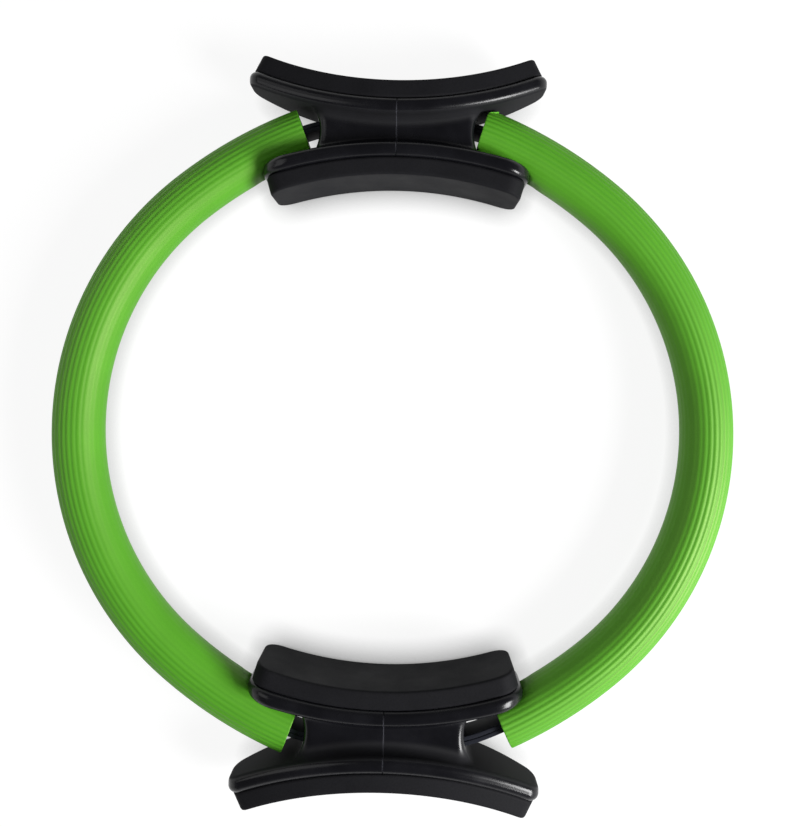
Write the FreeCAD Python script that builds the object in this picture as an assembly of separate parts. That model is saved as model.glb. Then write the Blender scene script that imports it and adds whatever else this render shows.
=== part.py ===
import FreeCAD, Part
import math
import os

# A pilates ring: two spring strips bowed into an oval, foam sleeves over their free stretches,
# and two waisted handles with a curved pad on their outer and inner flanges.
# Millimetres, Z up, ring lying flat on Z = 0, X to the right, Y from the near to the far handle.

V = FreeCAD.Vector
UP = V(0, 0, 1)
MIDDLE = V(0, 0, 0)
QUARTER_TURN = 90.0
HALF_TURN = 180.0

# Ring: the strips' centre line is straight in the handles, bends down as it leaves them,
# runs on in a flatter stretch and ends in the round side; angles are from the handle axis
ring_half_width = 164.9
side_radius = 155.1
shoulder_angle = 39.5
stretch_radius = 225.0
clamp_angle = 22.5
clamp_half_length = 24.0

# Spring strips: two nested plies on each side
strip_width = 16.0
ply_thickness = 2.2
ply_gap = 0.2
strip_end_gap = 1.0

# Foam sleeves, with the angle from the handle axis at which each end is cut,
# and the hollow in which an end rests against the waist
sleeve_diameter = 26.8
slot_clearance = 0.5
left_far_end_angle = 20.6
left_near_end_angle = 19.9
right_far_end_angle = 17.0
right_near_end_angle = 24.9
foam_clearance = 0.35
foam_hollow_radius = 13.0

# Grip flanges: the seats are round about axes along Z, hollow towards the pads;
# the outer flange's long sides are bowed, so that it narrows towards its ends
flange_width = 46.6
flange_thickness = 8.2
bead_radius = 3.4
outer_flange_length = 158.0
inner_flange_length = 139.0
outer_flange_corner = 8.5
inner_flange_corner = 14.5
outer_side_bow_radius = 240.0
outer_seat_rise = 9.3
inner_seat_drop = 21.3
outer_seat_radius = 168.0
inner_seat_radius = 204.5

# Grip waist, with hollow ends that flare towards the flanges
waist_length = 80.6
waist_width = 29.6
waist_corner = 4.0
waist_hollow_radius = 24.0
waist_flare = 8.0
waist_fillet = 4.6
seam_chamfer = 0.3

# Pads, with end and side walls that lean inwards
outer_pad_thickness = 9.6
inner_pad_thickness = 8.8
outer_pad_corner = 6.0
inner_pad_corner = 9.0
pad_end_rim = 2.5
pad_side_rim = 2.0
outer_pad_end_lean = 28.0
inner_pad_end_lean = 16.0
pad_side_lean = 4.5
pad_edge_radius = 1.4
glue_gap = 0.1
stud_diameter = 6.0
stud_depth = 3.0
stud_offset = 25.0
stud_clearance = 0.15

# Ferrule over the strip ends, and its rivets
ferrule_length = 46.0
ferrule_wall = 1.2
ferrule_clearance = 0.2
pocket_clearance = 0.15
rivet_diameter = 4.0
rivet_offset = 15.0
rivet_head_diameter = 7.2
rivet_head_height = 1.1
rivet_head_gap = 0.05
rivet_clearance = 0.05
strip_hole_clearance = 0.25

# Dowels across the seam
dowel_diameter = 3.0
dowel_length = 16.0
dowel_clearance = 0.05

# How far cutting tools run past what they cut, how near an edge lies to be picked,
# and how far along a seat's radius the outlines of its flange and pad run
overrun = 5.0
pick_tolerance = 0.05
reach_share = 0.5


def outward(angle):
    """Direction away from the ring's middle, at an angle taken clockwise from +Y."""
    return V(math.sin(math.radians(angle)), math.cos(math.radians(angle)), 0)


# Worked out from the sizes above
side_centre = V(ring_half_width - side_radius, 0, 0)
stretch_centre = side_centre + outward(shoulder_angle) * (side_radius - stretch_radius)
clamp_point = stretch_centre + outward(clamp_angle) * stretch_radius
bend_radius = (clamp_point.x - clamp_half_length) / outward(clamp_angle).x
bend_centre = clamp_point - outward(clamp_angle) * bend_radius
ring_half_depth = bend_centre.y + bend_radius

outer_seat = ring_half_depth + outer_seat_rise
inner_seat = ring_half_depth - inner_seat_drop
stack_half = ply_thickness + ply_gap / 2
ferrule_inner_half = stack_half + ferrule_clearance
ferrule_outer_half = ferrule_inner_half + ferrule_wall
ferrule_bore_width = strip_width + 2 * ferrule_clearance
ferrule_width = ferrule_bore_width + 2 * ferrule_wall
seat_middle = (outer_seat + inner_seat) / 2
rest_lift = flange_width / 2

# Outlines of the two flanges of a grip: length, corner radius and bow of the long sides, if any
OUTER_PLAN = (outer_flange_length, outer_flange_corner, outer_side_bow_radius)
INNER_PLAN = (inner_flange_length, inner_flange_corner, None)

# The flanges: seat height, seat radius, the way its pad faces and outline
OUTER = (outer_seat, outer_seat_radius, 1, OUTER_PLAN)
INNER = (inner_seat, inner_seat_radius, -1, INNER_PLAN)

# Their pads: thickness, lean of the end walls and corner radius
OUTER_PAD = (outer_pad_thickness, outer_pad_end_lean, outer_pad_corner)
INNER_PAD = (inner_pad_thickness, inner_pad_end_lean, inner_pad_corner)


def rectangle(inner, outer, width):
    """Upright section: X is the offset outwards from the centre line, Z is up."""
    half = width / 2
    corners = [V(inner, 0, -half), V(outer, 0, -half), V(outer, 0, half), V(inner, 0, half)]
    return Part.Face(Part.makePolygon(corners + corners[:1]))


def set_on_arc(shape, centre, radius, angle):
    """Move a shape from the origin to an arc, at an angle taken clockwise from +Y."""
    shape = shape.copy()
    shape.translate(V(radius, 0, 0))
    shape.rotate(MIDDLE, UP, QUARTER_TURN - angle)
    shape.translate(centre)
    return shape


def carried(section, centre, radius, start, end):
    """Solid that a section sweeps along an arc, from one angle to the next."""
    face = set_on_arc(section, centre, radius, start)
    return face.revolve(centre, UP * -1, end - start)


def quarter(section, start):
    """Pieces of a section carried from an angle near the far handle to the right shoulder."""
    pieces = []
    if start < clamp_angle:
        pieces.append(carried(section, bend_centre, bend_radius, start, clamp_angle))
    stretch_start = max(start, clamp_angle)
    pieces.append(carried(section, stretch_centre, stretch_radius, stretch_start, shoulder_angle))
    return pieces


def bow(section, far_start, near_start):
    """Section carried round the right half of the ring, from the far to the near handle."""
    side = carried(section, side_centre, side_radius, shoulder_angle, HALF_TURN - shoulder_angle)
    near = [at_front(piece) for piece in quarter(section, near_start)]
    return side.fuse(quarter(section, far_start) + near).removeSplitter()


def in_handle(section, start, end):
    """Section carried straight through the far handle, from one X to the next."""
    face = set_on_arc(section, V(start, 0, 0), ring_half_depth, 0)
    return face.extrude(V(end - start, 0, 0))


def at_front(shape):
    return shape.mirror(MIDDLE, V(0, 1, 0))


def on_left(shape):
    return shape.mirror(MIDDLE, V(1, 0, 0))


def at_near(shape):
    turned = shape.copy()
    turned.rotate(MIDDLE, UP, HALF_TURN)
    return turned


def corner_arc(half_length, half_width, corner, bow_radius):
    """Three points on the corner arc of an outline, from its end to its long side.

    A bowed side is an arc about a point on the outline's short axis, and the corner touches it.
    """
    x = half_length - corner
    if bow_radius is None:
        centre, lean = V(x, 0, half_width - corner), UP
    else:
        bow_centre = V(0, 0, half_width - bow_radius)
        reach = bow_radius - corner
        centre = V(x, 0, bow_centre.z + math.sqrt(reach ** 2 - x ** 2))
        lean = (centre - bow_centre) * (1 / reach)
    across = V(1, 0, 0)
    half_way = across + lean
    return [centre + way * corner for way in (across, half_way * (1 / half_way.Length), lean)]


def rounded_plan(half_length, half_width, corner, bow_radius, level):
    """Outline across X and Z at one height along Y, with round corners and straight ends."""
    turn = corner_arc(half_length, half_width, corner, bow_radius)
    edges = []
    for side in (1, -1):
        right, left = [[V(way * p.x, level, side * p.z) for p in turn] for way in (1, -1)]
        if bow_radius is None:
            long_side = Part.LineSegment(right[2], left[2])
        else:
            long_side = Part.Arc(right[2], V(0, level, side * half_width), left[2])
        end_start = right[0] if side > 0 else left[0]
        end = Part.LineSegment(end_start, V(end_start.x, level, -end_start.z))
        for curve in (Part.Arc(*right), long_side, Part.Arc(*left), end):
            edges.append(curve.toShape())
    return Part.Wire(Part.__sortEdges__(edges))


def drum(axis_y, radius):
    """Cylinder along Z, wider than the flanges."""
    span = flange_width + 2 * overrun
    return Part.makeCylinder(radius, span, V(0, axis_y, -span / 2), UP)


def band(axis_y, inner_radius, outer_radius):
    """Curved plate between two drums on one axis."""
    return drum(axis_y, outer_radius).cut(drum(axis_y, inner_radius))


def sag(radius, x):
    """Depth of a round seat at a distance from its middle."""
    return radius - math.sqrt(radius ** 2 - x ** 2)


def radius_at(point, axis_y):
    return math.hypot(point.x, point.y - axis_y)


def edge_middle(edge):
    first, last = edge.ParameterRange
    return edge.valueAt((first + last) / 2)


def is_upright(edge):
    """True for a straight edge along Y."""
    first, last = edge.ParameterRange
    run = edge.valueAt(last) - edge.valueAt(first)
    return abs(run.y) > abs(run.x) + abs(run.z)


def plain_flange(seat, seat_radius, facing, plan, grow):
    """Flange before its edges are rounded, larger all round by grow."""
    length, corner, bow_radius = plan
    if bow_radius is not None:
        bow_radius += grow
    axis_y = seat + facing * seat_radius
    plate = band(axis_y, seat_radius - grow, seat_radius + flange_thickness + grow)
    start = seat - facing * (flange_thickness + overrun)
    outline = rounded_plan(length / 2 + grow, flange_width / 2 + grow, corner + grow, bow_radius, start)
    reach = flange_thickness + overrun + seat_radius * reach_share
    return plate.common(Part.Face(outline).extrude(V(0, facing * reach, 0)))


def flange(seat, seat_radius, facing, plan):
    """Curved flange with a rounded bead along its rim."""
    plate = plain_flange(seat, seat_radius, facing, plan, 0)
    rim = [edge for edge in plate.Edges if not is_upright(edge)]
    return plate.makeFillet(bead_radius, rim)


def waist(grow, hollow_radius):
    """Waist block between the middles of the two flanges, its ends hollow, larger by grow."""
    end = waist_length / 2 + grow
    half_length = end + waist_flare
    half_width = waist_width / 2 + grow
    half_depth = (outer_seat - inner_seat) / 2 + waist_flare + overrun
    corner = V(-half_length, seat_middle - half_depth, -half_width)
    block = Part.makeBox(2 * half_length, 2 * half_depth, 2 * half_width, corner)
    base = V(end + hollow_radius, seat_middle, -half_width - overrun)
    hollow = Part.makeCylinder(hollow_radius, 2 * (half_width + overrun), base, UP)
    tools = [hollow, on_left(hollow)]
    for seat, seat_radius, facing, plan in (OUTER, INNER):
        tools.append(drum(seat + facing * seat_radius, seat_radius + flange_thickness / 2))
    return block.cut(tools)


def rounded_waist():
    """Waist block with its hollow ends rounded over to the top and bottom."""
    block = waist(0, waist_hollow_radius)
    rim = []
    for edge in block.Edges:
        point = edge_middle(edge)
        at_end = abs(abs(point.x) - waist_length / 2) < waist_flare
        level = abs(abs(point.z) - waist_width / 2) < pick_tolerance
        if at_end and level:
            rim.append(edge)
    return block.makeFillet(waist_corner, rim)


def waist_edges(body):
    """Edges where the waist meets the back of a flange."""
    found = []
    for edge in body.Edges:
        point = edge_middle(edge)
        near_end = abs(point.x) < waist_length / 2 + waist_flare
        level = abs(point.z) < waist_width / 2 + pick_tolerance
        for seat, seat_radius, facing, plan in (OUTER, INNER):
            off = radius_at(point, seat + facing * seat_radius) - seat_radius - flange_thickness
            if near_end and level and abs(off) < pick_tolerance:
                found.append(edge)
    return found


def dowel_places():
    """Middles of the dowels: two beside the ferrule and one in each flange."""
    pocket_half = ferrule_width / 2 + pocket_clearance
    beside = (pocket_half + waist_width / 2) / 2
    return [
        V(0, seat_middle, beside),
        V(0, seat_middle, -beside),
        V(0, outer_seat - dowel_diameter, 0),
        V(0, inner_seat + dowel_diameter, 0),
    ]


def dowels(grow):
    """Straight pins across the seam, larger all round by grow."""
    length = dowel_length + 2 * grow
    pins = []
    for place in dowel_places():
        base = place - V(length / 2, 0, 0)
        pins.append(Part.makeCylinder(dowel_diameter / 2 + grow, length, base, V(1, 0, 0)))
    return pins


def studs(seat, seat_radius, facing, thickness, grow):
    """Locating studs on the back of a pad, larger all round by grow."""
    pins = []
    for x in (-stud_offset, stud_offset):
        bottom = seat + facing * (sag(seat_radius, stud_offset) - stud_depth - grow)
        length = stud_depth + grow + thickness * reach_share
        pins.append(Part.makeCylinder(stud_diameter / 2 + grow, length, V(x, bottom, 0), V(0, facing, 0)))
    return pins


def rivet_at(shape, side):
    return set_on_arc(shape, V(side * rivet_offset, 0, 0), ring_half_depth, 0)


def rivet_bar(diameter, half_length):
    """Bar across the strips, with its axis outwards."""
    return Part.makeCylinder(diameter / 2, 2 * half_length, V(-half_length, 0, 0), V(1, 0, 0))


def rivet():
    """Rivet with two domed heads: a half outline turned about its own axis."""
    seat = ferrule_outer_half + rivet_head_gap
    head = rivet_head_diameter / 2
    dome = (head ** 2 + rivet_head_height ** 2) / (2 * rivet_head_height)
    half_angle = math.asin(head / dome) / 2
    top = seat + rivet_head_height
    bend = V(top - dome + dome * math.cos(half_angle), 0, dome * math.sin(half_angle))
    crown = V(top, 0, 0)
    rim = V(seat, 0, head)
    neck = V(seat, 0, rivet_diameter / 2)

    def other(point):
        return V(-point.x, 0, point.z)

    edges = [
        Part.Arc(crown, bend, rim).toShape(),
        Part.LineSegment(rim, neck).toShape(),
        Part.LineSegment(neck, other(neck)).toShape(),
        Part.LineSegment(other(neck), other(rim)).toShape(),
        Part.Arc(other(rim), other(bend), other(crown)).toShape(),
        Part.LineSegment(other(crown), crown).toShape(),
    ]
    return Part.Face(Part.Wire(edges)).revolve(MIDDLE, V(1, 0, 0), 2 * HALF_TURN)


def ferrule():
    """Rectangular tube over the strip ends, drilled for the rivets."""
    tube = rectangle(-ferrule_outer_half, ferrule_outer_half, ferrule_width)
    bore = rectangle(-ferrule_inner_half, ferrule_inner_half, ferrule_bore_width)
    body = in_handle(tube.cut(bore), -ferrule_length / 2, ferrule_length / 2)
    hole = rivet_bar(rivet_diameter + 2 * rivet_clearance, ferrule_outer_half + overrun)
    return body.cut([rivet_at(hole, side) for side in (-1, 1)])


def grip_hollows():
    """What is cut out of a grip: strip slot, ferrule pocket, rivet rooms, dowel and stud holes."""
    slot_half = stack_half + slot_clearance
    slot = rectangle(-slot_half, slot_half, strip_width + 2 * slot_clearance)
    mouth = carried(slot, bend_centre, bend_radius, 0, clamp_angle)
    pocket_half = ferrule_outer_half + pocket_clearance
    pocket = rectangle(-pocket_half, pocket_half, ferrule_width + 2 * pocket_clearance)
    pocket_end = ferrule_length / 2 + pocket_clearance
    head_reach = ferrule_outer_half + rivet_head_gap + rivet_head_height + pocket_clearance
    room = rivet_bar(rivet_head_diameter + 2 * pocket_clearance, head_reach)
    tools = [in_handle(slot, -clamp_half_length, clamp_half_length), mouth, on_left(mouth)]
    tools.append(in_handle(pocket, -pocket_end, pocket_end))
    tools += [rivet_at(room, side) for side in (-1, 1)]
    tools += dowels(dowel_clearance)
    for (seat, seat_radius, facing, plan), pad_sizes in ((OUTER, OUTER_PAD), (INNER, INNER_PAD)):
        tools += studs(seat, seat_radius, facing, pad_sizes[0], stud_clearance)
    return tools


def seam_edges(half):
    """Outer edges of a grip half that lie in the seam."""
    found = []
    for edge in half.Edges:
        points = [vertex.Point for vertex in edge.Vertexes] + [edge_middle(edge)]
        if max(abs(point.x) for point in points) < pick_tolerance:
            found.append(edge)
    return found


def grip_halves():
    """Left and right half of the far grip."""
    body = flange(*OUTER).fuse([flange(*INNER), rounded_waist()]).removeSplitter()
    body = body.makeFillet(waist_fillet, waist_edges(body))
    span = ring_half_depth + outer_flange_length
    halves = []
    for corner_x in (-span, 0):
        side = Part.makeBox(span, span, 2 * span, V(corner_x, 0, -span))
        half = body.common(side)
        half = half.makeChamfer(seam_chamfer, seam_edges(half))
        halves.append(half.cut(grip_hollows()))
    return halves


def pad(seat, seat_radius, facing, plan, thickness, end_lean, corner):
    """Curved pad: leaning walls between two outlines, trimmed to the seat and the hollow face."""
    length, _, bow_radius = plan
    base_end = length / 2 - pad_end_rim
    end_rise = sag(seat_radius, base_end)
    outlines = []
    for height in (0, end_rise + thickness + overrun):
        half_length = base_end + (end_rise - height) * math.tan(math.radians(end_lean))
        half_width = flange_width / 2 - pad_side_rim - height * math.tan(math.radians(pad_side_lean))
        outlines.append(rounded_plan(half_length, half_width, corner, bow_radius, seat + facing * height))
    axis_y = seat + facing * seat_radius
    face_radius = seat_radius - thickness
    block = Part.makeLoft(outlines, True, True)
    block = block.common(band(axis_y, face_radius, seat_radius - glue_gap))
    rim = []
    for edge in block.Edges:
        if abs(radius_at(edge_middle(edge), axis_y) - face_radius) < glue_gap:
            rim.append(edge)
    block = block.makeFillet(pad_edge_radius, rim)
    return block.fuse(studs(seat, seat_radius, facing, thickness, 0)).removeSplitter()


def strip(inner, outer):
    """One ply of the right-hand spring strip, drilled for the rivets at both ends."""
    section = rectangle(inner, outer, strip_width)
    end = in_handle(section, strip_end_gap / 2, clamp_half_length)
    ply = bow(section, 0, 0).fuse([end, at_front(end)]).removeSplitter()
    hole = rivet_at(rivet_bar(rivet_diameter + 2 * strip_hole_clearance, stack_half + overrun), 1)
    return ply.cut([hole, at_front(hole)])


def sleeve(far_angle, near_angle):
    """Right-hand foam sleeve: a tube with a slot for the strips, pressed in by both handles."""
    slot_half = stack_half + slot_clearance
    slot = rectangle(-slot_half, slot_half, strip_width + 2 * slot_clearance)
    disc = Part.Face(Part.Wire(Part.makeCircle(sleeve_diameter / 2, MIDDLE, V(0, 1, 0))))
    tube = bow(disc.cut(slot), far_angle, near_angle)
    presses = [waist(foam_clearance, foam_hollow_radius)]
    for seat, seat_radius, facing, plan in (OUTER, INNER):
        presses.append(plain_flange(seat, seat_radius, facing, plan, foam_clearance))
    return tube.cut(presses + [at_front(press) for press in presses])


def build():
    """Every node of the ring by name."""
    nodes = {}
    for ply, inner in (("outer", ply_gap / 2), ("inner", -ply_gap / 2 - ply_thickness)):
        right = strip(inner, inner + ply_thickness)
        nodes["right_%s_spring_strip" % ply] = right
        nodes["left_%s_spring_strip" % ply] = on_left(right)
    nodes["right_foam_sleeve"] = sleeve(right_far_end_angle, right_near_end_angle)
    nodes["left_foam_sleeve"] = on_left(sleeve(left_far_end_angle, left_near_end_angle))

    left, right = grip_halves()
    rivets = Part.makeCompound([rivet_at(rivet(), side) for side in (-1, 1)])
    far = {
        "grip_left_half": left,
        "grip_right_half": right,
        "outer_pad": pad(*OUTER, *OUTER_PAD),
        "inner_pad": pad(*INNER, *INNER_PAD),
        "strip_ferrule": ferrule(),
        "ferrule_rivets": rivets,
        "grip_dowels": Part.makeCompound(dowels(0)),
    }
    swapped = {"grip_left_half": "grip_right_half", "grip_right_half": "grip_left_half"}
    for name, shape in far.items():
        nodes["far_" + name] = shape
        nodes["near_" + swapped.get(name, name)] = at_near(shape)
    return nodes


def main():
    os.makedirs("parts", exist_ok=True)
    for name, shape in build().items():
        placed = shape.copy()
        placed.translate(V(0, 0, rest_lift))
        placed.exportStep("parts/%s.step" % name)


main()
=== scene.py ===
import math

import bmesh
import bpy
import numpy as np
from mathutils import Matrix, Vector


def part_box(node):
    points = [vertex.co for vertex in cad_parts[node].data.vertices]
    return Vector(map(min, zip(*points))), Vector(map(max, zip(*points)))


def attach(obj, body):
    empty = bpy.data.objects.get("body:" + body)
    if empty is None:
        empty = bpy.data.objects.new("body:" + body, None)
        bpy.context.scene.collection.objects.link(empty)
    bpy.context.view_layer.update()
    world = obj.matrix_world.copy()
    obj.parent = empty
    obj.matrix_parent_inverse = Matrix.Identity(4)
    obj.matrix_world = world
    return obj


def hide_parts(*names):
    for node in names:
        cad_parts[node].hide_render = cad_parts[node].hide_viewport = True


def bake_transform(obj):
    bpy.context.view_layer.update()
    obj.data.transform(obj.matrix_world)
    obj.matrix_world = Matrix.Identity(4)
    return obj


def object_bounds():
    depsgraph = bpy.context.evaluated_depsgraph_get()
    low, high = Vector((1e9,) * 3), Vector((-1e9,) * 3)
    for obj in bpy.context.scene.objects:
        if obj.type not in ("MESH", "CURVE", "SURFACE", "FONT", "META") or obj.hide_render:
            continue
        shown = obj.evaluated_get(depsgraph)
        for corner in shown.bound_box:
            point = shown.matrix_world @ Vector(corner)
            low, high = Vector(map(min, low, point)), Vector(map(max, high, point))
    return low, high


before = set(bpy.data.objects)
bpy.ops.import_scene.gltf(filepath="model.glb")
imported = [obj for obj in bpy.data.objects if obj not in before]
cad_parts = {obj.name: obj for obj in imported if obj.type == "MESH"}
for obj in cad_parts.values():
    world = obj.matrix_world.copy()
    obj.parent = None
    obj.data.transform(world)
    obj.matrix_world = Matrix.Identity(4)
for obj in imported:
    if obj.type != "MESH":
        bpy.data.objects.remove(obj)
cad_low, cad_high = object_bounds()

bl_info = {
    "name": "Pilates Ring",
    "version": (1, 0, 0),
    "blender": (4, 5, 0),
    "location": "3D View > Sidebar > Pilates Ring",
    "description": "Foam sleeves, strips, pads and finishes round the packed model of a pilates ring",
    "category": "Add Mesh",
}

# Metres and radians, Z up, X to the right, Y from the near to the far handle

MM = 0.001
SIDES = {"left": -1, "right": 1}
HANDLES = {"near": -1, "far": 1}
MERGE_DISTANCE = 0.001 * MM
WHITE = (1.0, 1.0, 1.0, 1.0)

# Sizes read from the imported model
sleeve_low, sleeve_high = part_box("right_foam_sleeve")
strip_low, strip_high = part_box("right_outer_spring_strip")
SLEEVE_RADIUS = (sleeve_high.z - sleeve_low.z) / 2
MIDDLE_HEIGHT = (sleeve_high.z + sleeve_low.z) / 2
RING_HALF_WIDTH = sleeve_high.x - SLEEVE_RADIUS
STACK_HALF = strip_high.x - RING_HALF_WIDTH
RING_HALF_DEPTH = strip_high.y - STACK_HALF
STRIP_WIDTH = strip_high.z - strip_low.z
FLANGE_HALF_WIDTH = (cad_high.z - cad_low.z) / 2


def length(name, description, default):
    """A size in metres that a user may change."""
    return bpy.props.FloatProperty(
        name=name, description=description, default=default, min=0.0, precision=5,
        subtype="DISTANCE", unit="LENGTH",
    )


def angle(name, description, degrees):
    """An angle that a user may change, given here in degrees."""
    return bpy.props.FloatProperty(
        name=name, description=description, default=math.radians(degrees),
        subtype="ANGLE", unit="ROTATION",
    )


def share(name, description, default):
    """A plain number from nought to one."""
    return bpy.props.FloatProperty(
        name=name, description=description, default=default, min=0.0, max=1.0, subtype="FACTOR",
    )


def point(name, description, default):
    """A place in metres that a user may change."""
    return bpy.props.FloatVectorProperty(
        name=name, description=description, default=default, subtype="XYZ",
    )


def power(name, description, watts):
    """Power of a light that a user may change."""
    return bpy.props.FloatProperty(
        name=name, description=description, default=watts, min=0.0, unit="POWER",
    )


def to_linear(level):
    """Scene-linear value of one 0 to 255 display level."""
    c = level / 255
    return c / 12.92 if c <= 0.04045 else ((c + 0.055) / 1.055) ** 2.4


def colour(name, description, levels):
    """A colour that a user may change, given here as display levels from 0 to 255."""
    return bpy.props.FloatVectorProperty(
        name=name, description=description, default=[to_linear(v) for v in levels],
        size=3, min=0.0, max=1.0, subtype="COLOR",
    )


class RingPathSizes(bpy.types.PropertyGroup):
    """The line that strips and sleeves follow, with angles from the handle axis."""

    half_width: length("Half width", "Centre of the ring to the strips at the side", RING_HALF_WIDTH)
    side_radius: length("Side radius", "Radius of the round side", 155.1 * MM)
    shoulder: angle("Shoulder", "Where the side gives way to a flatter stretch", 39.5)
    stretch_radius: length("Stretch radius", "Radius of the flatter stretch", 225.0 * MM)
    clamp: angle("Clamp", "Where the stretch gives way to the bend into a handle", 22.5)
    clamp_half: length("Clamp half", "Half of the straight length inside a handle", 24.0 * MM)
    squeeze_reach: length("Squeeze reach", "How far from the middle the squeeze's bend ends", 135.0 * MM)


class SleeveSizes(bpy.types.PropertyGroup):
    """The two ribbed foam sleeves."""

    radius: length("Radius", "Sleeve radius over the ribs", SLEEVE_RADIUS)
    rib_depth: length("Rib depth", "Depth of the grooves between the ribs", 0.26 * MM)
    rib_count: bpy.props.IntProperty(name="Ribs", description="Ribs round one sleeve", default=31, min=8)
    inner_rib: share("Inner rib", "Share of the rib depth left where the bend presses the foam", 0.25)
    cut_round: length("Cut edge", "Rounding of the cut ends", 0.5 * MM)
    slot_clearance: length("Slot clearance", "Room round the strips in the sleeve", 0.5 * MM)
    left_far_end: angle("Left far end", "Cut of the left sleeve at the far handle", 20.6)
    left_near_end: angle("Left near end", "Cut of the left sleeve at the near handle", 19.9)
    right_far_end: angle("Right far end", "Cut of the right sleeve at the far handle", 17.0)
    right_near_end: angle("Right near end", "Cut of the right sleeve at the near handle", 24.9)
    clearance: length("Clearance", "Room between the foam and a grip", 0.35 * MM)
    give: length("Give", "How gently the foam gives way to a flange", 0.6 * MM)
    recovery: length("Recovery", "How far past a flange's end the foam is round again", 7.0 * MM)


class StripSizes(bpy.types.PropertyGroup):
    """The four spring strips, two nested plies a side."""

    width: length("Width", "Strip width across the ring's plane", STRIP_WIDTH)
    ply_gap: length("Ply gap", "Gap between the two plies", 0.2 * MM)
    edge_round: length("Edge rounding", "Rounding of the strip's long edges", 0.35 * MM)
    end_gap: length("End gap", "Gap between left and right strips inside a handle", 1.0 * MM)


class FlangeSizes(bpy.types.PropertyGroup):
    """One curved flange of a grip, and the pad on it."""

    seat: length("Seat", "Ring centre to the middle of the seat", RING_HALF_DEPTH + 9.3 * MM)
    seat_radius: length("Seat radius", "Radius of the hollow seat", 168.0 * MM)
    flange_length: length("Flange length", "Length of the flange", 158.0 * MM)
    pad_thickness: length("Pad thickness", "Thickness of the pad", 9.6 * MM)
    pad_corner: length("Pad corner", "Corner radius of the pad's outline", 6.0 * MM)
    side_bow: length("Side bow", "Radius of the pad's long sides, or nought if straight", 240.0 * MM)
    end_lean: angle("End lean", "How far the pad's end walls lean in", 28.0)


class GripSizes(bpy.types.PropertyGroup):
    """What the foam keeps clear of on a grip."""

    flange_thickness: length("Flange thickness", "Thickness of a flange", 8.2 * MM)
    rim_round: length("Rim rounding", "Rounding of a flange's rim", 3.4 * MM)
    waist_half: length("Waist half", "Half the length of the waist", 40.3 * MM)
    hollow_radius: length("Hollow radius", "Radius of the hollow for a sleeve's end", 13.0 * MM)


class PadSizes(bpy.types.PropertyGroup):
    """What all pads share."""

    end_rim: length("End rim", "Flange left bare at the pad's ends", 2.5 * MM)
    side_rim: length("Side rim", "Flange left bare at the pad's sides", 2.0 * MM)
    side_lean: angle("Side lean", "How far the pad's side walls lean in", 4.5)
    edge_round: length("Edge rounding", "Rounding of the pad's face edge", 1.4 * MM)
    glue_gap: length("Glue gap", "Gap between a pad and its seat", 0.1 * MM)


class Finishes(bpy.types.PropertyGroup):
    """Colours of the finishes."""

    foam: colour("Foam", "Foam sleeves in plain light", (83, 170, 28))
    # Painted shade: the foam's colour darkened down in the grooves, where shade falls.
    foam_groove_shade: colour("Foam groove", "Foam down in the grooves", (68, 154, 24))
    plastic: colour("Plastic", "Glossy black of the grips", (18, 18, 22))
    rubber: colour("Rubber", "Charcoal of the pads", (28, 28, 31))
    fibreglass: colour("Fibreglass", "Dark resin of the strips", (30, 32, 40))
    steel: colour("Steel", "Ferrules and dowels", (168, 170, 174))
    aluminium: colour("Aluminium", "Rivets", (205, 206, 208))


class StageSettings(bpy.types.PropertyGroup):
    """Camera, floor and light."""

    camera_place: point("Camera", "Camera place", (0.00955, 0.02800, 0.46515))
    camera_tilt: angle("Tilt", "Camera tilt about X", -2.95)
    camera_yaw: angle("Yaw", "Camera yaw", 0.79)
    camera_roll: angle("Roll", "Camera roll", 1.157)
    focal_pixels: bpy.props.FloatProperty(
        name="Focal length", description="Focal length in pixels of the picture", default=836.5, min=1.0,
    )
    axis_row: bpy.props.FloatProperty(
        name="Axis row", description="Picture row that the camera's axis meets", default=330.0,
    )
    floor_colour: colour("Floor", "Colour of the floor and the backdrop", (112, 112, 112))
    floor_glow: share("Floor glow", "Share of the floor's white that the light doesn't make", 0.90)
    # Reach of the painted contact shadow that dims the floor's glow near the ring.
    shade_reach: length("Shade reach", "How far the ring shades the floor's glow", 14.0 * MM)
    floor_reach: length("Floor reach", "Half the side of the floor's sheet", 8.0)
    floor_radius: length("Floor radius", "Where the floor gives way to the backdrop", 4.5)
    backdrop_bend: length("Backdrop bend", "Radius of the bend from the floor to the backdrop", 1.0)
    backdrop_height: length("Backdrop height", "Height of the backdrop", 1.9)
    key_place: point("Key place", "Place of the key light", (0.95, -0.45, 0.70))
    key_size: length("Key size", "Side of the square key light", 0.5)
    key_power: power("Key", "Power of the key light", 22.0)
    fill_place: point("Fill place", "Place of the fill light", (-0.75, 0.15, 0.9))
    fill_size: length("Fill size", "Side of the square fill light", 0.8)
    fill_power: power("Fill", "Power of the fill light", 2.5)
    sky_strength: bpy.props.FloatProperty(
        name="Sky", description="Strength of the even light from all round", default=0.32, min=0.0,
    )


# Picture height in pixels, sensor width in millimetres, and what the camera takes in along its axis
PICTURE_HEIGHT = 827
SENSOR = 36.0
NEAREST, FURTHEST = 0.01, 50.0


# Geometry

def outward_at(bend):
    """Direction away from the ring's middle, in the plane, at an angle from the far handle axis."""
    return np.array([math.sin(bend), math.cos(bend)])


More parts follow.
